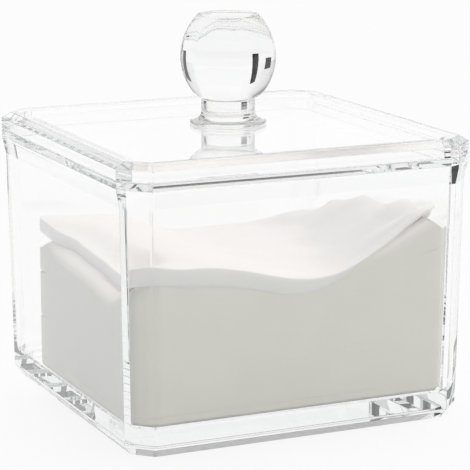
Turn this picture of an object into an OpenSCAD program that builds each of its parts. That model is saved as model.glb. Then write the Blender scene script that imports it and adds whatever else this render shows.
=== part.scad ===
// Clear lidded cotton box: a drafted square tub with chamfered corners, a loose bevelled lid
// with a six-sided ball knob, and the soft cotton pads that lie in it.
// Millimetres, +Z up, origin at the centre of the underside.

/* [Tub] */
// Outer width and depth across the rim
box_w = 100; // [80:1:140]
// Height of the tub up to the top of its rim
box_h = 71; // [55:0.5:120]
// Thickness of the side walls
wall_t = 2.8; // [2:0.1:4]
// Height of the floor's upper face above the table
floor_top = 7; // [5:0.1:12]
// Leg of the corner chamfers on the rim and the lid
rim_leg = 6.7; // [4:0.1:12]
// Leg of the corner chamfers on the walls
wall_leg = 6; // [4:0.1:12]
// Height of the upright part of the rim
rim_h = 2.6; // [1:0.1:6]
// Height of the sloped underside of the rim
flare_h = 4.3; // [2:0.1:10]
// How far the rim stands out from the walls
flare_out = 1; // [0.4:0.1:3]
// How much narrower each wall is at the foot than under the rim
draft = 0.95; // [0:0.05:2]
// Height of the bevel round the foot
foot_h = 2.8; // [1:0.1:6]
// How far the foot bevel runs in
foot_in = 1.9; // [0.5:0.1:4]
// Width of the ring that the box stands on
foot_ring = 2.4; // [1.5:0.1:6]
// Depth of the recess inside that ring
recess_h = 2.4; // [0.5:0.1:3]
// How much the recess narrows towards its flat top, each side
recess_draft = 0.5; // [0.1:0.1:1]
// Size of the small bevel where the floor meets the walls inside
floor_bevel = 0.8; // [0.3:0.1:2]
// Size of the bevel round the mouth that leads the lid's rib in
mouth_bevel = 2.5; // [0.5:0.1:2.6]

/* [Lid] */
// Height of the lid's upright edge
lid_side_h = 3; // [1.5:0.1:8]
// Height of the bevel round the lid's top
lid_bevel_h = 1.6; // [0.5:0.1:4]
// How far the lid's top bevel runs in
lid_bevel_in = 2.45; // [0.5:0.05:6]
// Thickness of the lid's plate
plate_t = 2.5; // [1.5:0.1:4]
// Depth of the locating rib under the lid
rib_h = 2.9; // [2:0.1:8]
// Thickness of the locating rib
rib_t = 2; // [1.2:0.1:4]
// Free play between the rib and the tub's mouth, each side
rib_play = 0.35; // [0.15:0.05:1]
// Reveal between the lid and the rim that it rests on
seat_gap = 0.2; // [0.1:0.05:0.6]

/* [Knob] */
// Width of the ball across opposite corners of its facets
ball_d = 26; // [18:0.5:40]
// Radius of the arc that each facet follows from top to bottom
facet_r = 16.5; // [13:0.1:40]
// Number of facets round the ball
facets = 6; // [6:1:10]
// Height of the flat top above the middle of the ball
ball_up = 11.6; // [6:0.1:12.5]
// Depth of the ball below its middle, where the neck starts
ball_down = 10.8; // [6:0.1:12]
// Diameter of the round neck
neck_d = 14.6; // [8:0.1:16]
// Height of the neck from the lid to the ball
neck_h = 7.4; // [4:0.1:16]
// Diameter of the flange that is bonded to the lid
flange_d = 20.8; // [19:0.1:30]
// Thickness of the flange, whose edge is a half round
flange_t = 1; // [0.8:0.1:4]
// Radius of the hollow where the neck runs into the flange
neck_fillet = 2.4; // [0.5:0.1:3]
// Thickness of the bond between flange and lid
bond_t = 0.05; // [0.02:0.01:0.2]

/* [Cotton pads] */
// Number of pads in the pile under the top pad
pad_count = 11; // [6:1:16]
// Depth of the pads from the front of the box to the back
pad_depth = 69.5; // [40:0.5:75]
// Gap that the pads keep from the walls and the floor
pad_wall_gap = 0.35; // [0.2:0.05:1]
// Gap between one pad and the next
pad_gap = 0.3; // [0.2:0.02:0.5]
// How far the soft edge of each pad is rounded off
pad_edge = 0.7; // [0.2:0.1:1]
// Largest step between the edges of neighbouring pads
pad_stagger = 0.6; // [0:0.1:1]
// Free height between the top pad's curled corner and the lid's rib
headroom = 10.6; // [3:0.1:30]
// Thickness of the top pad over the pile
top_pad_t = 3.2; // [1.5:0.1:5]
// Thickness of the top pad at its curled front right corner
curl_t = 1.1; // [0.6:0.1:3]
// How far the front right corner of the top pad curls up from the pile
curl_rise = 5; // [0:0.1:9]
// Length of the curled stretch along the front edge
curl_len = 24; // [10:0.5:35]
// Length of the curled stretch along the right edge
curl_side_len = 68; // [20:0.5:75]
// How far the rear left corner of the top pad is lifted from the pile
lift_rise = 5.2; // [0:0.1:9]
// Length of the lifted stretch along each edge
lift_len = 40; // [15:0.5:60]
// Fall of the pile from its front right corner to its front left corner
fall_front_left = 6; // [0:0.1:10]
// Fall of the pile from its front right corner to the valley at the front
fall_front_valley = 13.2; // [2:0.1:18]
// Fall of the pile from its front right corner to its rear left corner
fall_rear_left = 10.5; // [0:0.1:14]
// Fall of the pile from its front right corner to the valley at the rear
fall_rear_valley = 12.8; // [2:0.1:18]
// Fall of the pile from its front right corner to its rear right corner
fall_rear_right = 5; // [0:0.1:14]
// Place of the valley's lowest line at the front, to the right of the middle
valley_x = 9; // [-15:0.5:15]
// Width of the front slope from the left shoulder down to the valley
left_slope_w = 38; // [15:0.5:50]
// Width of the front slope from the valley up to the right shoulder
right_slope_w = 30; // [15:0.5:35]
// Width of the flat bed of the valley at the rear
rear_bed_w = 36; // [10:0.5:50]
// Width of the slopes on both sides of that bed
rear_slope_w = 17; // [8:0.5:25]
// How far the soft rear corners of each pad are cut off
pad_soft_corner = 2; // [0.5:0.1:6]

/* [Hidden] */
// Fine steps for round shapes
$fn = 96;
// Small overlap for cuts that run out of a solid
cut = 1;
// Share by which a chamfer's leg shrinks when its outline is drawn in by one
leg_share = 2 - sqrt(2);

// Tub outline, from the rim inwards
rim_half = box_w / 2;
wall_half = rim_half - flare_out;
foot_half = wall_half - draft;
rim_z = box_h - rim_h;
flare_z = rim_z - flare_h;
cavity_leg = wall_leg - wall_t * leg_share;
function foot_leg(half) = wall_leg - (foot_half - half) * leg_share;
function recess_half_at(z) = foot_half - foot_in - foot_ring - recess_draft * z / recess_h;
function wall_half_at(z) = foot_half + draft * (z - foot_h) / (flare_z - foot_h);
function cavity_half_at(z) = wall_half_at(z) - wall_t;

// Lid levels and outlines
lid_z = box_h + seat_gap;
lid_bevel_z = lid_z + lid_side_h;
lid_top_z = lid_bevel_z + lid_bevel_h;
plate_z = lid_top_z - plate_t;
rib_z = lid_z - rib_h;
rib_half = cavity_half_at(rib_z) - rib_play;
rib_leg = cavity_leg - rib_play * leg_share;
hollow_half = rib_half - rib_t;
hollow_leg = rib_leg - rib_t * leg_share;

// Knob levels
knob_z = lid_top_z + bond_t;
ball_z = knob_z + neck_h + ball_down;
facet_half = ball_d / 2 * cos(180 / facets);
// Smallest hollow that is left between the neck and the flange's edge
least_fillet = 0.5;

// Pad plan: the outline stays clear of the narrowest part of the cavity
pad_half = cavity_half_at(floor_top) - pad_wall_gap;
pad_corner = cavity_leg + pad_wall_gap;
pad_front = -pad_half;
pad_back = pad_front + pad_depth;
pad_floor = floor_top + pad_wall_gap;
cols = 13;
rows = 8;
// How strongly the waves of the pile fade towards the flat pads at the bottom
wave_fade = 1.5;
// How late the curled corner bends up: 1 is straight, more is a tighter curl at the tip
curl_bend = 1.3;
// Angle that steps round from pad to pad and so spreads their uneven edges
stagger_turn = 137;

// Heights of the curled corner's tip and of the pile under it
curl_top_z = rib_z - headroom;
pile_z = curl_top_z - curl_t - curl_rise - pad_gap;

function pad_name(i) = str("cotton_pad_", i < 10 ? "0" : "", i);
function clamp01(t) = max(0, min(1, t));
function smooth(t) = let (c = clamp01(t)) c * c * (3 - 2 * c);
function mix(a, b, t) = a + (b - a) * t;

// Eight corners of a square outline with chamfered corners, at one height
function octagon(half, leg, z) = [
    [half - leg, -half, z], [half, leg - half, z], [half, half - leg, z], [half - leg, half, z],
    [leg - half, half, z], [-half, half - leg, z], [-half, leg - half, z], [leg - half, -half, z]
];

// Solid through a list of outlines, each given as half width, chamfer leg and height
module loft(rings) {
    n = len(rings);
    points = [for (r = rings) each octagon(r[0], r[1], r[2])];
    sides = [
        for (k = [0:n - 2], i = [0:7])
            let (j = (i + 1) % 8)
                [8 * k + i, 8 * (k + 1) + i, 8 * (k + 1) + j, 8 * k + j]
    ];
    polyhedron(
        points,
        concat([[for (i = [0:7]) i]], sides, [[for (i = [7:-1:0]) 8 * (n - 1) + i]])
    );
}

// Clear tub: foot ring round a recess, drafted walls, flared rim, chamfered cavity with a bevelled mouth
module box_body() {
    mouth_z = box_h - mouth_bevel;
    mouth_half = cavity_half_at(mouth_z);
    past_bevel = mouth_bevel + cut;
    color([0.86, 0.88, 0.9, 0.35])
        difference() {
            loft([
                [foot_half - foot_in, foot_leg(foot_half - foot_in), 0],
                [foot_half, wall_leg, foot_h],
                [wall_half, wall_leg, flare_z],
                [rim_half, rim_leg, rim_z],
                [rim_half, rim_leg, box_h]
            ]);
            loft([
                [cavity_half_at(floor_top) - floor_bevel, cavity_leg - floor_bevel * leg_share, floor_top],
                [cavity_half_at(floor_top + floor_bevel), cavity_leg, floor_top + floor_bevel],
                [mouth_half, cavity_leg, mouth_z],
                [mouth_half + past_bevel, cavity_leg + past_bevel * leg_share, box_h + cut]
            ]);
            loft([for (z = [-cut, recess_h]) [recess_half_at(z), foot_leg(recess_half_at(z)), z]]);
        }
}

// Clear lid: upright edge, bevelled top and a rib that drops into the tub's mouth
module lid() {
    color([0.88, 0.9, 0.92, 0.35])
        difference() {
            union() {
                loft([
                    [rim_half, rim_leg, lid_z],
                    [rim_half, rim_leg, lid_bevel_z],
                    [rim_half - lid_bevel_in, rim_leg - lid_bevel_in * leg_share, lid_top_z]
                ]);
                loft([
                    [rib_half, rib_leg, rib_z],
                    [rib_half, rib_leg, plate_z]
                ]);
            }
            loft([
                [hollow_half, hollow_leg, rib_z - cut],
                [hollow_half, hollow_leg, plate_z]
            ]);
        }
}

// Ball with curved facets: each facet is part of a level cylinder, cut flat above and below
module faceted_ball() {
    axis_back = facet_r - facet_half;
    intersection() {
        intersection_for (i = [0:facets - 1])
            rotate([0, 0, i * 360 / facets])
                translate([-axis_back, 0, ball_z])
                    rotate([90, 0, 0])
                        cylinder(r = facet_r, h = 2 * ball_d, center = true);
        translate([-ball_d, -ball_d, ball_z - ball_down])
            cube([2 * ball_d, 2 * ball_d, ball_down + ball_up]);
    }
}

// Neck and flange as one turned profile, with a half-round flange edge and a hollow fillet
module neck_and_flange() {
    neck_r = neck_d / 2;
    edge_r = flange_t / 2;
    edge_x = max(flange_d / 2 - edge_r, neck_r + least_fillet);
    fillet_r = min(neck_fillet, edge_x - neck_r);
    fillet_x = neck_r + fillet_r;
    neck_top = neck_h + cut;
    steps = 10;
    translate([0, 0, knob_z])
        rotate_extrude()
            polygon(concat(
                [[0, 0]],
                [for (k = [0:steps])
                    let (a = -90 + 180 * k / steps)
                        [edge_x + edge_r * cos(a), edge_r + edge_r * sin(a)]],
                [for (k = [0:steps])
                    let (a = 270 - 90 * k / steps)
                        [fillet_x + fillet_r * cos(a), flange_t + fillet_r + fillet_r * sin(a)]],
                [[neck_r, neck_top], [0, neck_top]]
            ));
}

// Clear knob, bonded by its flange to the middle of the lid
module knob() {
    color([0.88, 0.9, 0.92, 0.4])
        union() {
            faceted_ball();
            neck_and_flange();
        }
}

// Height of the pile's top surface at one place in plan
function pile_top(x, y) =
    let (
        back = smooth((y - pad_front) / pad_depth),
        bed_half = rear_bed_w / 2 * back,
        left = smooth((valley_x - bed_half - x) / mix(left_slope_w, rear_slope_w, back)),
        right = clamp01((x - valley_x - bed_half) / mix(right_slope_w, rear_slope_w, back)),
        valley = mix(fall_front_valley, fall_rear_valley, back),
        left_fall = mix(fall_front_left, fall_rear_left, back),
        right_fall = mix(0, fall_rear_right, back)
    )
    pile_z - valley + (valley - left_fall) * left + (valley - right_fall) * right;

// Height between pad i and the next: the waves of the pile fade out towards the floor
function layer_z(i, x, y) =
    let (
        share = i / pad_count,
        flat_top = pile_z - fall_front_valley,
        wave = pile_top(x, y) - flat_top
    )
    pad_floor - pad_gap + (flat_top - pad_floor + pad_gap) * share + wave * pow(share, wave_fade);

// How far the top pad stands off the pile: a lifted rear left corner and a curled front right one
function top_pad_lift(x, y) =
    let (
        lift = smooth(1 - (x + pad_half) / lift_len) * smooth(1 - (pad_back - y) / lift_len),
        curl_front = pow(clamp01(1 - (pad_half - x) / curl_len), curl_bend),
        curl_side = smooth(1 - (y - pad_front) / curl_side_len)
    )
    lift_rise * lift + curl_rise * curl_front * curl_side;

// Thickness of the top pad, which thins out to its curled corner
function top_pad_thickness(x) =
    mix(top_pad_t, curl_t, smooth((x - valley_x) / (pad_half - valley_x)));

// Place along one side of the grid: the first and the last cell are as wide as the corner cuts
function grid_at(k, n, low, high, low_cut, high_cut) =
    k == 0 ? low :
    k == n ? high :
    mix(low + low_cut, high - high_cut, (k - 1) / (n - 2));

// Place in plan of one grid point, with the edge drawn in by inset and the corners cut off
function pad_plan(c, r, inset) =
    let (
        rear = r == rows,
        corner_cut = rear ? pad_soft_corner : pad_corner,
        at_corner = (c == 0 || c == cols) && (r == 0 || rear),
        pull = at_corner ? corner_cut / 2 : 0,
        x = grid_at(c, cols, inset - pad_half, pad_half - inset, pad_corner, pad_corner),
        y = grid_at(r, rows, pad_front + inset, pad_back - inset, pad_corner, pad_corner)
    )
    [x - sign(x) * pull, y + (rear ? -pull : pull)];

// Grid points round the edge of a pad, in order
edge_ring = concat(
    [for (c = [0:cols - 1]) [c, 0]],
    [for (r = [0:rows - 1]) [cols, r]],
    [for (c = [cols:-1:1]) [c, rows]],
    [for (r = [rows:-1:1]) [0, r]]
);
function grid_index(c, r) = r * (cols + 1) + c;

function low_z(i, p) =
    i > pad_count
        ? layer_z(pad_count, p[0], p[1]) + pad_gap + top_pad_lift(p[0], p[1])
        : layer_z(i - 1, p[0], p[1]) + pad_gap;
function high_z(i, p) =
    i > pad_count ? low_z(i, p) + top_pad_thickness(p[0]) : layer_z(i, p[0], p[1]);

// One soft pad: a lower and an upper wavy face, joined by a rounded edge
module soft_pad(i) {
    step_in = pad_stagger * (1 + sin(i * stagger_turn)) / 2;
    grid = (cols + 1) * (rows + 1);
    ring = len(edge_ring);
    flat = [for (r = [0:rows], c = [0:cols]) pad_plan(c, r, step_in + pad_edge)];
    lower = [for (p = flat) [p[0], p[1], low_z(i, p)]];
    upper = [for (p = flat) [p[0], p[1], high_z(i, p)]];
    rim = [
        for (e = edge_ring)
            let (p = pad_plan(e[0], e[1], step_in))
                [p[0], p[1], (low_z(i, p) + high_z(i, p)) / 2]
    ];
    face_up = [
        for (r = [0:rows - 1], c = [0:cols - 1])
            let (
                a = grid_index(c, r),
                b = a + 1,
                d = a + cols + 1,
                e = d + 1,
                towards_corner = (c < cols / 2) == (r < rows / 2)
            )
                each towards_corner ? [[a, e, b], [a, d, e]] : [[a, d, b], [b, d, e]]
    ];
    edge_faces = [
        for (k = [0:ring - 1])
            let (
                m = (k + 1) % ring,
                a = grid_index(edge_ring[k][0], edge_ring[k][1]),
                b = grid_index(edge_ring[m][0], edge_ring[m][1]),
                p = 2 * grid + k,
                q = 2 * grid + m
            )
                each [[a, p, b], [b, p, q], [p, grid + a, q], [q, grid + a, grid + b]]
    ];
    polyhedron(
        concat(lower, upper, rim),
        concat(
            [for (f = face_up) [f[0], f[2], f[1]]],
            [for (f = face_up) [grid + f[0], grid + f[1], grid + f[2]]],
            edge_faces
        )
    );
}

// Pad of the pile, counted from the floor
module cotton_pad(i) {
    color([0.95, 0.94, 0.92])
        soft_pad(i);
}

// Top pad, with its lifted and curled corners
module cotton_top_pad() {
    color([0.97, 0.96, 0.94])
        soft_pad(pad_count + 1);
}

box_body();
lid();
knob();
for (i = [1:pad_count]) cotton_pad(i);
cotton_top_pad();
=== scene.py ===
import math

import bmesh
import bpy
import numpy as np
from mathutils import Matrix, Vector, noise
from mathutils.bvhtree import BVHTree


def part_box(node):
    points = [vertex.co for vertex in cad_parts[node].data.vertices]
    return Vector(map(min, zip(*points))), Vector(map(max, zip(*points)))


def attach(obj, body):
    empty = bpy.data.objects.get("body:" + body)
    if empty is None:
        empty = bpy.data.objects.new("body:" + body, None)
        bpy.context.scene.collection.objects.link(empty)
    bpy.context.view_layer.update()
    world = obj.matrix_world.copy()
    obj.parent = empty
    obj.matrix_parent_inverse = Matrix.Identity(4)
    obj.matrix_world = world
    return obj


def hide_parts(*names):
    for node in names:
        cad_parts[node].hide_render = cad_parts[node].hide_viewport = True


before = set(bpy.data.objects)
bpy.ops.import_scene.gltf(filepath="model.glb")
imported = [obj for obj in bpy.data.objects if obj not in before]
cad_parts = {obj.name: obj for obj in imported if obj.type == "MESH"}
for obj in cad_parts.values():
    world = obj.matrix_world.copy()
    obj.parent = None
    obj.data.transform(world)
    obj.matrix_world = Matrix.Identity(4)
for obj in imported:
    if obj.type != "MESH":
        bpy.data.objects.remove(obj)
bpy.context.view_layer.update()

# Clear tub. A square box moulded in one shot from clear acrylic, with drafted walls, chamfered
# corners, a flared rim and a thick bevelled floor that it stands on. The mould leaves every edge
# slightly rounded, and faint flow ripples and hairline scuffs in the polished faces.
TUB_EDGE_ROUND = 0.00016
EDGE_STEPS = 3
SHARP_ANGLE = math.radians(20)
FLAT_ANGLE = math.radians(0.4)
ACRYLIC_IOR = 1.49
ACRYLIC_TINT = (0.997, 0.998, 0.998)
DEPTH_TINT = (0.5, 0.53, 0.53)
DEPTH_DENSITY = 1.8
RIPPLE_HEIGHT = 0.000004
SCUFF_SCALE = 60
SCUFF_FROM, SCUFF_TO = 0.55, 0.85
TUB_RIPPLES, TUB_SCUFF = 45, 0.02


def add_piece(name, mesh, material, body, slot, *nodes):
    """A new piece of the object that rides on a body and stands for CAD nodes."""
    piece = bpy.data.objects.new(name, mesh)
    bpy.context.scene.collection.objects.link(piece)
    mesh.materials.clear()
    mesh.materials.append(material)
    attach(piece, body)
    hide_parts(*nodes)
    return piece


def moulded_mesh(node, edge_round):
    """The node's own faces, joined where they are flat, with every edge slightly rounded."""
    shape = bmesh.new()
    shape.from_mesh(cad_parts[node].data)
    bmesh.ops.remove_doubles(shape, verts=shape.verts, dist=1e-6)
    bmesh.ops.dissolve_limit(
        shape, angle_limit=FLAT_ANGLE, verts=shape.verts, edges=shape.edges
    )
    sharp = [
        edge for edge in shape.edges
        if edge.is_manifold and edge.calc_face_angle() > SHARP_ANGLE
    ]
    for face in shape.faces:
        face.smooth = False
    rounded = bmesh.ops.bevel(
        shape, geom=sharp, offset=edge_round, offset_type="OFFSET", affect="EDGES",
        segments=EDGE_STEPS, profile=0.5, clamp_overlap=True,
    )
    for face in rounded["faces"]:
        face.smooth = True
    mesh = bpy.data.meshes.new(node)
    shape.to_mesh(mesh)
    shape.free()
    return mesh


def clear_acrylic(name, ripple_scale, scuff):
    """Polished clear plastic: flow ripples from the mould as bump, hairline scuffs as roughness."""
    material = bpy.data.materials.new(name)
    material.use_nodes = True
    nodes, links = material.node_tree.nodes, material.node_tree.links
    shader = nodes["Principled BSDF"]
    shader.inputs["Base Color"].default_value = (*ACRYLIC_TINT, 1)
    shader.inputs["IOR"].default_value = ACRYLIC_IOR
    shader.inputs["Transmission Weight"].default_value = 1
    place = nodes.new("ShaderNodeTexCoord")

    ripples = nodes.new("ShaderNodeTexNoise")
    ripples.inputs["Scale"].default_value = ripple_scale
    ripples.inputs["Detail"].default_value = 1
    bump = nodes.new("ShaderNodeBump")
    bump.inputs["Strength"].default_value = 1
    bump.inputs["Distance"].default_value = RIPPLE_HEIGHT
    links.new(place.outputs["Object"], ripples.inputs["Vector"])
    links.new(ripples.outputs["Fac"], bump.inputs["Height"])
    links.new(bump.outputs["Normal"], shader.inputs["Normal"])

    scuffs = nodes.new("ShaderNodeTexNoise")
    scuffs.inputs["Scale"].default_value = SCUFF_SCALE
    scuffs.inputs["Detail"].default_value = 4
    worn = nodes.new("ShaderNodeMapRange")
    worn.inputs["From Min"].default_value = SCUFF_FROM
    worn.inputs["From Max"].default_value = SCUFF_TO
    worn.inputs["To Min"].default_value = 0
    worn.inputs["To Max"].default_value = scuff
    links.new(place.outputs["Object"], scuffs.inputs["Vector"])
    links.new(scuffs.outputs["Fac"], worn.inputs["Value"])
    links.new(worn.outputs["Result"], shader.inputs["Roughness"])

    depth = nodes.new("ShaderNodeVolumeAbsorption")
    depth.inputs["Color"].default_value = (*DEPTH_TINT, 1)
    depth.inputs["Density"].default_value = DEPTH_DENSITY
    links.new(depth.outputs["Volume"], nodes["Material Output"].inputs["Volume"])
    return material


def let_light_through(piece):
    """Clear plastic casts no hard shadow: the lamps and the soft light pass straight through it."""
    piece.visible_shadow = False
    piece.visible_diffuse = False


tub_acrylic = clear_acrylic("tub_acrylic", TUB_RIPPLES, TUB_SCUFF)
tub = add_piece(
    "clear_tub", moulded_mesh("box_body", TUB_EDGE_ROUND), tub_acrylic,
    "tub", "clear_tub", "box_body",
)
let_light_through(tub)

# Cotton pads. A pile of soft square pads, needle-punched from layers of bleached cotton, lies loose
# on the tub's floor against its front. The cut edges are pressed into one wall with only faint
# lines between the pads, and the pile waves because the pads were pushed in by hand.
PAD_CELL = 0.0016
PAD_SETTLE = 0.00017
PAD_SMOOTH_PASSES = 30
EDGE_SAMPLE_IN = 0.0022
EDGE_SHARES = (0.04, 0.12, 0.28, 0.5, 0.72, 0.88, 0.96)
SEAM_REACH, FOOT_REACH = 0.17, 0.4
FRONT_CORNER = 0.0047
REAR_CORNER = 0.002
CURL_LEAN, LEFT_SET_BACK, FRONT_SET_BACK = 0.3, 0.0046, 0.0035
SHOULDER, BROW = 0.0042, 0.0034
CREST_RISE = 0.0042
PILE_DEPTH_SHARE = 0.775
PILE_FOOT_Z, PILE_TOP_Z = 0.0073, 0.045
GAPING_SEAMS, GAPE = (6, 10), 0.0006
FOOT_ROUND, FOOT_DRAW_IN = 0.007, 0.0012
SEAM_DEPTH = {2: 0.0005, 12: 0.0004}
SAG_FRONT, SAG_LEFT = 0.0024, 0.0016
TOP_MOUNDS = (
    (-4.2, 45, -31, 10, 6), (1.5, 44, 7, 15, 8), (1.9, 27, 25, 8, 8),
    (-1.7, 40, 26, 4, 4), (1.8, -20, 25, 9, 10),
)
TOP_FOLDS = ((-20, 0.30, 0.9), (-9, 0.25, -0.6), (4, 0.35, 0.7))
FOLD_WIDTH = 4.5
FRONT_DIP, FRONT_THICKER = 1.1, 0.0013
DROOP_REAR, DROOP_MIDDLE = 2.4, 2
CORNER_RISE = 0.0012
NAP_WIDE, NAP_FINE = 0.0003, 0.00007
FLUFF_FINE, FLUFF_WIDE = 0.00004, 0.00006
THINNEST = 0.0006
REST_GAP, REST_FADE = 0.0024, 0.002
SHEET_OVERLAP, LEAST_PAD = 0.0004, 0.0004
COTTON_FACE = (0.92, 0.88, 0.85)
# SHADED_FOOT is painted shadow: the colour of the lowest pad's down-facing faces, dark because little light
# reaches under the pile.
# The pile's cut edges are painted duller and greener than its faces, partly their own tone and partly
# painted shade; its left and right sides are painted darker still, as painted shade.
PILE_EDGE_TONE_AND_SHADE, PILE_SIDE_SHADE, SHADED_FOOT = (0.87, 0.87, 0.78), (0.75, 0.76, 0.71), (0.38, 0.38, 0.37)
TOP_EDGE, TOP_SIDE = (0.92, 0.92, 0.88), (0.92, 0.91, 0.92)
TOP_SOAK = 0.35
top_pad_node = "cotton_top_pad"
pad_nodes = sorted(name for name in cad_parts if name.startswith("cotton_pad_"))
pile_half = max(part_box(name)[1].x for name in pad_nodes)
pile_front, pile_back = -pile_half, pile_half * 2 * PILE_DEPTH_SHARE - pile_half
curl_foot_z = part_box(pad_nodes[-1])[1].z


def felt(x, y, z, size):
    """Smooth unevenness between -1 and 1 that repeats over about that size."""
    return noise.noise(Vector((x, y, z)) / size)


def pad_heights(node, xs, ys):
    """Heights of the CAD pad's lower and upper face over a plan grid, with its facets smoothed."""
    low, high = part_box(node)
    shape = bmesh.new()
    shape.from_mesh(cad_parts[node].data)
    tree = BVHTree.FromBMesh(shape)
    shape.free()
    lower, upper = np.zeros(xs.shape), np.zeros(xs.shape)
    for spot in np.ndindex(xs.shape):
        x = min(max(xs[spot], low.x + EDGE_SAMPLE_IN), high.x - EDGE_SAMPLE_IN)
        y = min(max(ys[spot], low.y + EDGE_SAMPLE_IN), high.y - EDGE_SAMPLE_IN)
        for out, corner in ((-1, FRONT_CORNER), (1, REAR_CORNER)):
            end = pile_back if out > 0 else -pile_front
            over = abs(x) + out * y - (pile_half + end - corner - 2 * EDGE_SAMPLE_IN)
            if over > 0:
                x, y = math.copysign(abs(x) - over / 2, x), y - out * over / 2
        lower[spot] = tree.ray_cast(Vector((x, y, low.z - 0.01)), Vector((0, 0, 1)))[0].z
        upper[spot] = tree.ray_cast(Vector((x, y, high.z + 0.01)), Vector((0, 0, -1)))[0].z
    for face in (lower, upper):
        for _ in range(PAD_SMOOTH_PASSES):
            wide = np.pad(face, 1, mode="reflect", reflect_type="odd")
            face[:] = (
                wide[:-2, 1:-1] + wide[2:, 1:-1] + wide[1:-1, :-2] + wide[1:-1, 2:] + 4 * face
            ) / 8
    return lower, upper


def pad_outline_half(y):
    """Half width of the pile at one depth: its corners are cut off by the tub's chamfers."""
    cut_front = max(0.0, FRONT_CORNER - (y - pile_front))
    cut_rear = max(0.0, REAR_CORNER - (pile_back - y))
    return pile_half - cut_front - cut_rear


def looseness(x, y, z):
    """How far the cut edges draw in at one place, in the same way from pad to pad."""
    return FLUFF_FINE * (1 + felt(x, y, z * 3, 0.003)) + FLUFF_WIDE * (1 + felt(x, y, z, 0.014))


def soft_edge(x, y):
    """The rounded upper edge of the top pad."""
    return 0.0003


def cotton_pad_mesh(name, node, cell, shaping, drift, seam_below, seam_above):
    """A closed soft pad: wavy faces from the CAD pad, and a cut edge that is drawn in at the seams."""
    across, deep = round(2 * pile_half / cell), round((pile_back - pile_front) / cell)
    u = np.linspace(-1, 1, across + 1)
    ys = np.linspace(pile_front, pile_back, deep + 1)
    halves = np.array([pad_outline_half(y) for y in ys])
    grid_x, grid_y = halves[:, None] * u[None, :], np.repeat(ys[:, None], across + 1, 1)
    lower, upper = pad_heights(node, grid_x, grid_y)
    lower, upper = shaping(grid_x, grid_y, lower - PAD_SETTLE, upper + PAD_SETTLE)
    ring = (
        [(0, c) for c in range(across)] + [(r, across) for r in range(deep)]
        + [(deep, c) for c in range(across, 0, -1)] + [(r, 0) for r in range(deep, 0, -1)]
    )
    points, faces = [], []

    def drawn_in(spot, z, inset):
        r, c = spot
        x, y = grid_x[spot], grid_y[spot]
        x_in = inset * ((c == 0) - (c == across))
        y_in = inset * ((r == 0) - (r == deep))
        x_drift, y_drift = drift(x, y, z)
        return (x + x_in + x_drift, y + y_in + y_drift, z)

    for height, seam in ((lower, seam_below), (upper, seam_above)):
        for spot in np.ndindex(grid_x.shape):
            on_edge = spot[0] in (0, deep) or spot[1] in (0, across)
            x, y, z = grid_x[spot], grid_y[spot], height[spot]
            points.append(drawn_in(spot, z, seam(x, y) + looseness(x, y, z) if on_edge else 0))
    count = grid_x.size
    stride = across + 1
    for r in range(deep):
        for c in range(across):
            a = r * stride + c
            faces.append((a, a + stride, a + stride + 1, a + 1))
            faces.append((count + a, count + a + 1, count + a + stride + 1, count + a + stride))
    for share in EDGE_SHARES:
        near_below = max(0.0, 1 - share / (FOOT_REACH if node == pad_nodes[0] else SEAM_REACH)) ** 2
        near_above = max(0.0, 1 - (1 - share) / SEAM_REACH) ** 2
        for spot in ring:
            x, y = grid_x[spot], grid_y[spot]
            z = lower[spot] + (upper[spot] - lower[spot]) * share
            seams = seam_below(x, y) * near_below + seam_above(x, y) * near_above
            points.append(drawn_in(spot, z, seams + looseness(x, y, z)))
    base = 2 * count
    last_row = len(EDGE_SHARES) + 1

    def edge_point(row, k):
        r, c = ring[k % len(ring)]
        if row == 0:
            return r * stride + c
        if row == last_row:
            return count + r * stride + c
        return base + (row - 1) * len(ring) + k % len(ring)

    for row in range(last_row):
        for k in range(len(ring)):
            faces.append((
                edge_point(row, k), edge_point(row, k + 1),
                edge_point(row + 1, k + 1), edge_point(row + 1, k),
            ))
    mesh = bpy.data.meshes.new(name)
    mesh.from_pydata(points, [], faces)
    mesh.update()
    for face in mesh.polygons:
        face.use_smooth = True
    cut_rings = {edge_point(0, k): k for k in range(len(ring))}
    if seam_above is not soft_edge:
        cut_rings |= {edge_point(last_row, k): k for k in range(len(ring))}
    for edge in mesh.edges:
        first, second = edge.vertices
        edge.use_edge_sharp = first in cut_rings and second in cut_rings and abs(first - second) < count / 2
    return mesh


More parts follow.
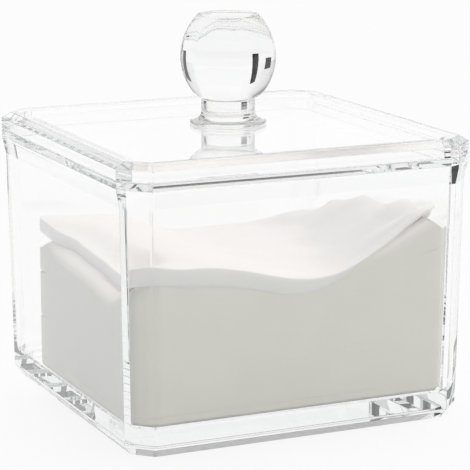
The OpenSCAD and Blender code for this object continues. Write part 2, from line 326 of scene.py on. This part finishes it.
def bleached_cotton(name, face_colour, edge_colour, side_colour, under_colour, soak):
    """Needle-punched cotton: white faces, matted fibres as bump, some soaked light, and painted shade: cut
    edges duller and greener, partly their own tone; sides darker; down-facing faces in the under colour.
    """
    material = bpy.data.materials.new(name)
    material.use_nodes = True
    nodes, links = material.node_tree.nodes, material.node_tree.links
    shader = nodes["Principled BSDF"]
    shader.inputs["Roughness"].default_value = 0.95
    shader.inputs["Specular IOR Level"].default_value = 0.1
    shader.inputs["Sheen Weight"].default_value = 0.15
    shader.inputs["Sheen Roughness"].default_value = 0.6
    shader.inputs["Subsurface Weight"].default_value = soak
    shader.inputs["Subsurface Radius"].default_value = (0.0022, 0.002, 0.0018)
    shader.inputs["Subsurface Scale"].default_value = 1
    place = nodes.new("ShaderNodeTexCoord")

    surface = nodes.new("ShaderNodeNewGeometry")
    upright = nodes.new("ShaderNodeSeparateXYZ")
    links.new(surface.outputs["Normal"], upright.inputs["Vector"])
    cloud = nodes.new("ShaderNodeTexNoise")
    cloud.inputs["Scale"].default_value = 120
    cloud.inputs["Detail"].default_value = 5
    links.new(place.outputs["Object"], cloud.inputs["Vector"])
    # Faces turned up keep the face colour; the others take the edge, side and under colours below, which on
    # the pile are partly painted shade.
    facing = nodes.new("ShaderNodeMapRange")
    facing.inputs["From Min"].default_value = 0.25
    facing.inputs["From Max"].default_value = 0.75
    links.new(upright.outputs["Z"], facing.inputs["Value"])
    # Faces turned left or right are mixed towards the side colour: painted shade on the pile's sides.
    sideways = nodes.new("ShaderNodeMath")
    sideways.operation = "ABSOLUTE"
    links.new(upright.outputs["X"], sideways.inputs[0])
    side_shade_mask = nodes.new("ShaderNodeMapRange")
    side_shade_mask.inputs["From Min"].default_value = 0.6
    side_shade_mask.inputs["From Max"].default_value = 0.9
    links.new(sideways.outputs["Value"], side_shade_mask.inputs["Value"])
    cut = nodes.new("ShaderNodeMix")
    cut.data_type = "RGBA"
    cut.inputs["A"].default_value = (*edge_colour, 1)
    cut.inputs["B"].default_value = (*side_colour, 1)
    links.new(side_shade_mask.outputs["Result"], cut.inputs["Factor"])
    # Faces turned down take the under colour; on the lowest pad that is a dark painted shadow under the
    # pile, which the clear tub doesn't cast.
    facing_down = nodes.new("ShaderNodeMapRange")
    facing_down.inputs["From Min"].default_value = -0.15
    facing_down.inputs["From Max"].default_value = -0.75
    links.new(upright.outputs["Z"], facing_down.inputs["Value"])
    pressed = nodes.new("ShaderNodeMix")
    pressed.data_type = "RGBA"
    pressed.inputs["B"].default_value = (*under_colour, 1)
    links.new(facing_down.outputs["Result"], pressed.inputs["Factor"])
    links.new(cut.outputs["Result"], pressed.inputs["A"])
    base = nodes.new("ShaderNodeMix")
    base.data_type = "RGBA"
    base.inputs["B"].default_value = (*face_colour, 1)
    links.new(facing.outputs["Result"], base.inputs["Factor"])
    links.new(pressed.outputs["Result"], base.inputs["A"])
    mottle = nodes.new("ShaderNodeMapRange")
    mottle.inputs["To Min"].default_value = 0.965
    mottle.inputs["To Max"].default_value = 1.02
    links.new(cloud.outputs["Fac"], mottle.inputs["Value"])
    shade = nodes.new("ShaderNodeVectorMath")
    shade.operation = "SCALE"
    links.new(base.outputs["Result"], shade.inputs[0])
    links.new(mottle.outputs["Result"], shade.inputs["Scale"])
    links.new(shade.outputs["Vector"], shader.inputs["Base Color"])

    stretch = nodes.new("ShaderNodeMapping")
    stretch.inputs["Scale"].default_value = (1, 1, 5)
    links.new(place.outputs["Object"], stretch.inputs["Vector"])
    fibres = nodes.new("ShaderNodeTexNoise")
    fibres.inputs["Scale"].default_value = 900
    fibres.inputs["Detail"].default_value = 3
    fibres.inputs["Distortion"].default_value = 1.2
    links.new(stretch.outputs["Vector"], fibres.inputs["Vector"])
    bump = nodes.new("ShaderNodeBump")
    bump.inputs["Strength"].default_value = 0.5
    bump.inputs["Distance"].default_value = 0.00012
    links.new(fibres.outputs["Fac"], bump.inputs["Height"])
    links.new(bump.outputs["Normal"], shader.inputs["Normal"])
    return material


def mound(x, y, at_x, at_y, wide_x, wide_y):
    """A soft bump, one high, round one place in plan; sizes in millimetres."""
    return np.exp(-((x * 1000 - at_x) / wide_x) ** 2 - ((y * 1000 - at_y) / wide_y) ** 2)


def ease(t):
    """Smooth step from nought to one."""
    t = np.clip(t, 0, 1)
    return t * t * (3 - 2 * t)


def pile_sag(x, y):
    """How far the left of the pile's top is pressed down."""
    front = ease((0.012 - x) / 0.022) * np.exp(-((y - pile_front) / 0.03) ** 2)
    return SAG_FRONT * front + SAG_LEFT * mound(x, y, -44, -10, 15, 15)


def pressed_pad(number):
    """A pad in the pile: pressed down with the pile's left, and gaping at the rear left in two places."""
    def shaping(x, y, lower, upper):
        share = 1 - pile_sag(x, y) / (PILE_TOP_Z - PILE_FOOT_Z)
        lower = PILE_FOOT_Z + (lower - PILE_FOOT_Z) * share
        upper = PILE_FOOT_Z + (upper - PILE_FOOT_Z) * share
        gape = GAPE * np.exp(-((x + pile_half) / 0.006) ** 2 - ((y - pile_back) / 0.005) ** 2)
        if number in GAPING_SEAMS:
            lower = lower + gape
        if number + 1 in GAPING_SEAMS:
            upper = upper - gape
        if number == 1:
            corner = ease((x - pile_half + FOOT_ROUND) / FOOT_ROUND) ** 2
            lower = lower + 0.0026 * corner * np.exp(-((y - pile_front) / 0.012) ** 2)
        return lower, upper
    return shaping


def top_sheet(x, y, lower, upper):
    """The top pad's faces: hand-made waves, folds that run in from the right, a thin curled corner."""
    front = ease((0.014 - x) / 0.022) * np.exp(-((y - pile_front) / 0.022) ** 2)
    wave = -FRONT_DIP * front
    for high, at_x, at_y, wide_x, wide_y in TOP_MOUNDS:
        wave = wave + high * mound(x, y, at_x, at_y, wide_x, wide_y)
    wave = 0.001 * wave
    along = DROOP_REAR * ease((pile_back - 0.0005 - y) / 0.011) + DROOP_MIDDLE * ease((-0.008 - y) / 0.02)
    droop = along * ease((y - pile_front - 0.005) / 0.012) * ease((-0.03 - x) / 0.014)
    wave = wave - 0.001 * droop + CORNER_RISE * mound(x, y, -41, -44, 5, 4)
    fold = np.zeros(x.shape)
    for at_y, lean, high in TOP_FOLDS:
        off = y * 1000 - (at_y - lean * (44 - x * 1000))
        fold += 0.001 * high * np.exp(-(off / FOLD_WIDTH) ** 2) * ease((x - 0.005) / 0.03)
    nap = np.array([
        NAP_WIDE * felt(px * 0.6 + py * 0.5, py * 1.6, 0.1, 0.013) + NAP_FINE * felt(px, py, 0.7, 0.0022)
        for px, py in zip(x.flat, y.flat)
    ]).reshape(x.shape)
    thick = (upper - lower) * (1 - ease((x + 0.002) / 0.03)) + FRONT_THICKER * front
    upper = upper + wave + fold + nap
    return upper - np.maximum(thick, THINNEST), upper


def set_back(x, y):
    """How far the top pad lies back from the pile's left edge and from the right end of its front."""
    left = ease((-0.026 - x) / 0.018) * ease((y - pile_front - 0.004) / 0.016)
    left = left * ease((pile_back - y) / 0.02)
    front = ease((x - 0.012) / 0.022) * ease((-0.024 - y) / 0.018)
    return LEFT_SET_BACK * left, FRONT_SET_BACK * front


def top_drift(x, y, z):
    """The top pad lies back from the pile's edges, and leans in at its curled corner."""
    from_left, from_front = set_back(x, y)
    return from_left - CURL_LEAN * max(0.0, z - curl_foot_z), from_front


def edge_heights(edge_x, edge_y, step_x, step_y):
    """Heights of the top pad's underside along one edge of the pile."""
    steps = np.arange(4) * PAD_CELL
    xs, ys = edge_x[:, None] + step_x * steps, edge_y[:, None] + step_y * steps
    return top_sheet(xs, ys, *pad_heights(top_pad_node, xs, ys))[0][:, 0]


left_y = np.linspace(pile_front, pile_back, 44)
front_x = np.linspace(-pile_half, pile_half, 56)
left_z = edge_heights(np.full(left_y.shape, -pile_half), left_y, 1, 0)
front_z = edge_heights(front_x, np.full(front_x.shape, pile_front), 0, 1)


def round_in(z, top, radius):
    """How far a rounded upper edge lies back at one height."""
    turn = min(max((z - top) / radius + 1, 0.0), 1.0)
    return radius * (1 - math.sqrt(1 - turn * turn))


def rolled_over(x, y, z):
    """The pile's upper edge is rolled over at the left and at the right end of its front."""
    left = ease((-0.036 - x) / 0.008) * ease((pile_back - 0.003 - y) / 0.01) * ease((y - pile_front) / 0.01)
    front = ease((x - 0.014) / 0.02) * ease((-0.036 - y) / 0.008)
    return (
        left * round_in(z, np.interp(y, left_y, left_z), SHOULDER),
        front * round_in(z, min(np.interp(x, front_x, front_z), curl_foot_z + CREST_RISE), BROW),
    )


def under_sheet(x, y, lower, upper):
    """The pad below the top one follows its underside, but not where the top pad lifts and curls."""
    lower, upper = pressed_pad(len(pad_nodes))(x, y, lower, upper)
    sheet_x, sheet_y = x, y
    for _ in range(6):
        from_left, from_front = set_back(sheet_x, sheet_y)
        sheet_x, sheet_y = np.maximum(x - from_left, -pile_half), np.maximum(y - from_front, pile_front)
    sheet_lower, _ = top_sheet(sheet_x, sheet_y, *pad_heights(top_pad_node, sheet_x, sheet_y))
    gap = sheet_lower - upper
    rests = 1 - ease((gap - REST_GAP) / REST_FADE)
    left = upper + rests * (gap + 0.0001)
    crest = curl_foot_z + CREST_RISE * (1 - ease((x - 0.035) / 0.008))
    right = np.maximum(upper, np.minimum(sheet_lower + SHEET_OVERLAP, crest))
    upper = left + (right - left) * ease((x - 0.002) / 0.01)
    return lower, np.maximum(upper, lower + LEAST_PAD)


def seam_under(number):
    """How far the edges draw in at the seam below one pad: faint, and it comes and goes."""
    def draw_in(x, y):
        if number == 1:
            return FOOT_DRAW_IN
        comes = max(0.0, felt(x + y, 0.2 * number, 0.5, 0.022) - 0.05)
        return SEAM_DEPTH.get(number, 0) * comes
    return draw_in


# The lowest pad's down-facing faces are painted near grey: painted shade under the pile, since the clear
# tub lets the light through.
shaded_foot_cotton = bleached_cotton("shaded_foot_cotton", COTTON_FACE, PILE_EDGE_TONE_AND_SHADE, PILE_SIDE_SHADE, SHADED_FOOT, 0)
pile_cotton = bleached_cotton("pile_cotton", COTTON_FACE, PILE_EDGE_TONE_AND_SHADE, PILE_SIDE_SHADE, PILE_EDGE_TONE_AND_SHADE, 0)
top_cotton = bleached_cotton("top_cotton", COTTON_FACE, TOP_EDGE, TOP_SIDE, TOP_EDGE, TOP_SOAK)
for number, node in enumerate(pad_nodes, 1):
    shaping = under_sheet if node == pad_nodes[-1] else pressed_pad(number)
    mesh = cotton_pad_mesh(
        f"pile_pad_{number:02d}", node, PAD_CELL, shaping, rolled_over,
        seam_under(number), seam_under(number + 1),
    )
    cotton = shaded_foot_cotton if number == 1 else pile_cotton
    pad = add_piece(mesh.name, mesh, cotton, "tub", "cotton", node)
mesh = cotton_pad_mesh(
    "top_pad", top_pad_node, PAD_CELL / 2, top_sheet, top_drift,
    seam_under(len(pad_nodes) + 1), soft_edge,
)
pad = add_piece(mesh.name, mesh, top_cotton, "tub", "cotton", top_pad_node)

# Clear lid. A thin moulded acrylic plate with an upright edge, a bevel round its top and a rib below
# that drops into the tub's mouth, so that it lifts straight off. It is the same plastic as the tub.
LID_EDGE_ROUND = 0.00016
LID_RIPPLES, LID_SCUFF = 45, 0.03
lid_acrylic = clear_acrylic("lid_acrylic", LID_RIPPLES, LID_SCUFF)
lid = add_piece(
    "clear_lid", moulded_mesh("lid", LID_EDGE_ROUND), lid_acrylic,
    "lid_unit", "clear_lid", "lid",
)
let_light_through(lid)

# Clear knob. A solid acrylic ball with six facets that are curved from top to bottom, on a round neck
# with a flange. It is moulded apart from the lid and bonded by its flange to the lid's middle.
FACETS = 6
FACET_ARC = 0.0165
BALL_HALF = 0.0141
EDGE_CUT = 0.06
BALL_UP, BALL_DOWN = 0.0116, 0.0108
NECK_HALF, FLANGE_HALF, FLANGE_THICK = 0.0073, 0.0104, 0.001
NECK_FILLET = 0.0024
FACET_CELLS = 24
FLANGE_STEPS, FILLET_STEPS, BALL_STEPS, TOP_STEPS = 12, 8, 48, 6
FACET_EDGE_POWER = 70
TOP_ROUND = 0.0006
FACET_BOW = 5.3
KNOB_RIPPLES, KNOB_SCUFF = 160, 0.02


def knob_rings(bottom, top):
    """Rings from the flange's underside to the flat top: half width, height, how six-sided it is."""
    edge = FLANGE_THICK / 2
    ball_middle = top - BALL_UP
    arc_back = FACET_ARC - BALL_HALF * math.cos(math.pi / FACETS)
    rings = [(FLANGE_HALF - edge - 0.0012, bottom, 0)]
    for step in range(FLANGE_STEPS + 1):
        a = math.radians(-90 + 180 * step / FLANGE_STEPS)
        rings.append((FLANGE_HALF - edge + edge * math.cos(a), bottom + edge + edge * math.sin(a), 0))
    for step in range(FILLET_STEPS + 1):
        a = math.radians(270 - 90 * step / FILLET_STEPS)
        rings.append((
            NECK_HALF + NECK_FILLET + NECK_FILLET * math.cos(a),
            bottom + FLANGE_THICK + NECK_FILLET + NECK_FILLET * math.sin(a),
            0,
        ))
    neck_low, ball_low = rings[-2][1], ball_middle - BALL_DOWN
    for share in (0.35, 0.7, 0.93):
        rings.append((NECK_HALF, neck_low * (1 - share) + ball_low * share, 0))
    for step in range(BALL_STEPS + 1):
        z = -BALL_DOWN + (BALL_DOWN + BALL_UP - TOP_ROUND) * step / BALL_STEPS
        six_sided = min(1.0, step / 2)
        rings.append((math.sqrt(FACET_ARC ** 2 - z ** 2) - arc_back, ball_middle + z, six_sided))
    edge_half = rings[-1][0]
    for step in range(1, TOP_STEPS + 1):
        a = math.radians(90 * step / TOP_STEPS)
        rings.append((
            edge_half - TOP_ROUND * 1.2 * (1 - math.cos(a)),
            top - TOP_ROUND * (1 - math.sin(a)),
            1,
        ))
    rings.append((edge_half * 0.8, top, 1))
    return rings


def knob_mesh(name, bottom, top):
    """The knob as one closed skin, drawn through its rings."""
    half_turn = math.pi / FACETS
    turns = []
    for facet in range(FACETS):
        for cell in range(FACET_CELLS):
            s = 2 * cell / FACET_CELLS - 1
            turns.append(facet * 2 * math.pi / FACETS + half_turn * math.sin(math.pi / 2 * s))
    points, faces = [], []
    corner = math.sqrt(FACET_BOW ** 2 - ((FACET_BOW - 1) * math.sin(half_turn)) ** 2)
    edge_reach = corner - (FACET_BOW - 1) * math.cos(half_turn) - EDGE_CUT
    rings = knob_rings(bottom, top)
    for half, z, six_sided in rings:
        for turn in turns:
            spread = 0
            for facet in range(FACETS):
                off = turn - facet * 2 * math.pi / FACETS
                if math.cos(off) > 0:
                    side = (FACET_BOW - 1) * math.sin(off)
                    reach = math.sqrt(FACET_BOW ** 2 - side ** 2) - (FACET_BOW - 1) * math.cos(off)
                    spread += reach ** -FACET_EDGE_POWER
                off -= half_turn
                if math.cos(off) > 0:
                    spread += (edge_reach / math.cos(off)) ** -FACET_EDGE_POWER
            reach = half * (1 - six_sided + six_sided * spread ** (-1 / FACET_EDGE_POWER))
            points.append((reach * math.cos(turn), reach * math.sin(turn), z))
    n = len(turns)
    for k in range(len(rings) - 1):
        for i in range(n):
            j = (i + 1) % n
            faces.append((k * n + i, k * n + j, (k + 1) * n + j, (k + 1) * n + i))
    for ring, z, order in ((0, bottom, -1), (len(rings) - 1, top, 1)):
        points.append((0, 0, z))
        middle = len(points) - 1
        for i in range(n):
            pair = (ring * n + i, ring * n + (i + 1) % n)
            faces.append((*pair[::order], middle))
    mesh = bpy.data.meshes.new(name)
    mesh.from_pydata(points, [], faces)
    mesh.update()
    for face in mesh.polygons:
        face.use_smooth = True
    return mesh


knob_low, knob_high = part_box("knob")
knob_acrylic = clear_acrylic("knob_acrylic", KNOB_RIPPLES, KNOB_SCUFF)
knob = add_piece(
    "clear_knob", knob_mesh("clear_knob", knob_low.z, knob_high.z), knob_acrylic,
    "lid_unit", "clear_knob", "knob",
)
let_light_through(knob)

# White table. A large matt sheet that the box stands on. The camera and the clear plastic see it nearly
# white, and the soft shadow of the box stays on it.
FLOOR_HALF = 4.0
FLOOR_DROP = 0.0001
TABLE_WHITE, TABLE_SHADED = 0.985, 0.88
TABLE_GLOW = 0.88

floor_mesh = bpy.data.meshes.new("table")
floor_corners = [
    (x * FLOOR_HALF, y * FLOOR_HALF, -FLOOR_DROP) for x, y in ((-1, -1), (1, -1), (1, 1), (-1, 1))
]
floor_mesh.from_pydata(floor_corners, [], [(0, 1, 2, 3)])
table = bpy.data.objects.new("table", floor_mesh)
bpy.context.scene.collection.objects.link(table)
table_white = bpy.data.materials.new("table_white")
table_white.use_nodes = True
table_shader = table_white.node_tree.nodes["Principled BSDF"]
table_shader.inputs["Base Color"].default_value = (TABLE_SHADED, TABLE_SHADED, TABLE_SHADED, 1)
table_shader.inputs["Roughness"].default_value = 1
table_shader.inputs["Specular IOR Level"].default_value = 0
nodes, links = table_white.node_tree.nodes, table_white.node_tree.links
glow = nodes.new("ShaderNodeEmission")
glow.inputs["Color"].default_value = (TABLE_WHITE, TABLE_WHITE, TABLE_WHITE, 1)
path = nodes.new("ShaderNodeLightPath")
seen_through = nodes.new("ShaderNodeMath")
seen_through.operation = "MAXIMUM"
links.new(path.outputs["Is Camera Ray"], seen_through.inputs[0])
links.new(path.outputs["Is Transmission Ray"], seen_through.inputs[1])
seen = nodes.new("ShaderNodeMath")
seen.operation = "MAXIMUM"
links.new(seen_through.outputs["Value"], seen.inputs[0])
links.new(path.outputs["Is Glossy Ray"], seen.inputs[1])
share = nodes.new("ShaderNodeMath")
share.operation = "MULTIPLY"
share.inputs[1].default_value = TABLE_GLOW
links.new(seen.outputs["Value"], share.inputs[0])
whiten = nodes.new("ShaderNodeMixShader")
links.new(share.outputs["Value"], whiten.inputs["Fac"])
links.new(table_shader.outputs["BSDF"], whiten.inputs[1])
links.new(glow.outputs["Emission"], whiten.inputs[2])
links.new(whiten.outputs["Shader"], nodes["Material Output"].inputs["Surface"])
floor_mesh.materials.append(table_white)

# Black flags. Matt cards that stand behind the box at both sides, and that only the clear plastic sees.
# They give the knob its dark marks. Each has its first and last bearing in degrees, its distance from
# the box, and the heights of its lower and upper edge.
BACKDROP_TURN = math.radians(24.6)
FLAG_GREY = 0.02
FLAGS = (
    (19.5, 32, 0.33, 0.04, 0.176), (37, 42.5, 0.8, 0.02, 0.16), (-41, -55, 0.28, 0.04, 0.19),
)

flag_black = bpy.data.materials.new("flag_black")
flag_black.use_nodes = True
flag_shader = flag_black.node_tree.nodes["Principled BSDF"]
flag_shader.inputs["Base Color"].default_value = (FLAG_GREY, FLAG_GREY, FLAG_GREY, 1)
flag_shader.inputs["Roughness"].default_value = 1
for number, (first, last, away, low_z, high_z) in enumerate(FLAGS, 1):
    card_mesh = bpy.data.meshes.new(f"flag_{number}")
    foot = [
        (-away * math.sin(turn), away * math.cos(turn))
        for turn in (math.radians(first) - BACKDROP_TURN, math.radians(last) - BACKDROP_TURN)
    ]
    card_mesh.from_pydata(
        [(*foot[0], low_z), (*foot[1], low_z), (*foot[1], high_z), (*foot[0], high_z)], [], [(0, 1, 2, 3)]
    )
    card_mesh.materials.append(flag_black)
    card = bpy.data.objects.new(card_mesh.name, card_mesh)
    bpy.context.scene.collection.objects.link(card)
    card.visible_camera = False
    card.visible_diffuse = False
    card.visible_shadow = False

# Lamp and room. One wide soft lamp hangs over the table in a dim room with a white backdrop behind the
# box. The room is darker in front, and that is what the clear edges bend into view.
LAMP_TILT_BACK, LAMP_TILT_RIGHT = math.radians(13), math.radians(20)
LAMP_SPREAD = math.radians(75)
LAMP_STRENGTH = 2.15
ROOM_LIGHT = 0.4
SOFTBOX_GREY, SOFTBOX_FROM, SOFTBOX_TO = 0.55, 0.75, 0.9
SURROUND = (
    (-180, 0.2), (-80, 0.25), (-60, 0.6), (-30, 1), (30, 1), (60, 0.6), (80, 0.25), (180, 0.2),
)

lamp_data = bpy.data.lights.new("overhead_lamp", "SUN")
lamp_data.angle = LAMP_SPREAD
lamp_data.energy = LAMP_STRENGTH
lamp = bpy.data.objects.new("overhead_lamp", lamp_data)
lamp.location = (0, 0, 1)
lamp.rotation_euler = (-LAMP_TILT_BACK, LAMP_TILT_RIGHT, 0)
lamp.visible_glossy = False
lamp.visible_transmission = False
bpy.context.scene.collection.objects.link(lamp)

room = bpy.data.worlds.new("white_studio")
bpy.context.scene.world = room
room.use_nodes = True
nodes, links = room.node_tree.nodes, room.node_tree.links
background = nodes["Background"]
path = nodes.new("ShaderNodeLightPath")
place = nodes.new("ShaderNodeTexCoord")
bearing = nodes.new("ShaderNodeVectorRotate")
bearing.rotation_type = "Z_AXIS"
bearing.inputs["Angle"].default_value = BACKDROP_TURN
links.new(place.outputs["Generated"], bearing.inputs["Vector"])
across = nodes.new("ShaderNodeSeparateXYZ")
links.new(bearing.outputs["Vector"], across.inputs["Vector"])
round_the_box = nodes.new("ShaderNodeMath")
round_the_box.operation = "ARCTAN2"
links.new(across.outputs["X"], round_the_box.inputs[0])
links.new(across.outputs["Y"], round_the_box.inputs[1])
turn_share = nodes.new("ShaderNodeMapRange")
turn_share.inputs["From Min"].default_value = -math.pi
turn_share.inputs["From Max"].default_value = math.pi
links.new(round_the_box.outputs["Value"], turn_share.inputs["Value"])
surround = nodes.new("ShaderNodeValToRGB")
stops = surround.color_ramp.elements
stops.remove(stops[1])
for degrees, grey in SURROUND:
    stop = stops.new(0.5 + degrees / 360)
    stop.color = (grey, grey, grey, 1)
stops.remove(stops[0])
links.new(turn_share.outputs["Result"], surround.inputs["Fac"])
height = nodes.new("ShaderNodeSeparateXYZ")
links.new(place.outputs["Generated"], height.inputs["Vector"])
overhead = nodes.new("ShaderNodeMapRange")
overhead.inputs["From Min"].default_value = SOFTBOX_FROM
overhead.inputs["From Max"].default_value = SOFTBOX_TO
links.new(height.outputs["Z"], overhead.inputs["Value"])
softbox = nodes.new("ShaderNodeMix")
softbox.data_type = "RGBA"
softbox.inputs["B"].default_value = (SOFTBOX_GREY, SOFTBOX_GREY, SOFTBOX_GREY, 1)
links.new(overhead.outputs["Result"], softbox.inputs["Factor"])
links.new(surround.outputs["Color"], softbox.inputs["A"])
by_eye = nodes.new("ShaderNodeMix")
by_eye.data_type = "RGBA"
by_eye.inputs["B"].default_value = (1, 1, 1, 1)
links.new(path.outputs["Is Camera Ray"], by_eye.inputs["Factor"])
links.new(softbox.outputs["Result"], by_eye.inputs["A"])
on_objects = nodes.new("ShaderNodeMix")
on_objects.data_type = "RGBA"
on_objects.inputs["B"].default_value = (ROOM_LIGHT, ROOM_LIGHT, ROOM_LIGHT, 1)
links.new(path.outputs["Is Diffuse Ray"], on_objects.inputs["Factor"])
links.new(by_eye.outputs["Result"], on_objects.inputs["A"])
links.new(on_objects.outputs["Result"], background.inputs["Color"])

# Camera. It stands to the left of the front and a little above the lid, with a long lens. Light needs
# many bounces to find its way through the thick clear edges.
LENS, SENSOR = 170.94, 36
CAMERA_AT = (-0.2477, -0.5448, 0.1749)
LOOK_DOWN, LOOK_RIGHT = 12.283, 24.626
GLASS_BOUNCES = 128
camera_data = bpy.data.cameras.new("camera")
camera_data.sensor_width = SENSOR
camera_data.lens = LENS
camera_data.clip_start, camera_data.clip_end = 0.01, 100
camera = bpy.data.objects.new("camera", camera_data)
camera.location = CAMERA_AT
camera.rotation_euler = (math.radians(90 - LOOK_DOWN), 0, math.radians(-LOOK_RIGHT))
bpy.context.scene.collection.objects.link(camera)
bpy.context.scene.camera = camera

scene = bpy.context.scene
scene.view_settings.view_transform = "Standard"
scene.cycles.max_bounces = GLASS_BOUNCES
scene.cycles.transmission_bounces = GLASS_BOUNCES
scene.cycles.glossy_bounces = GLASS_BOUNCES
scene.cycles.transparent_max_bounces = 16
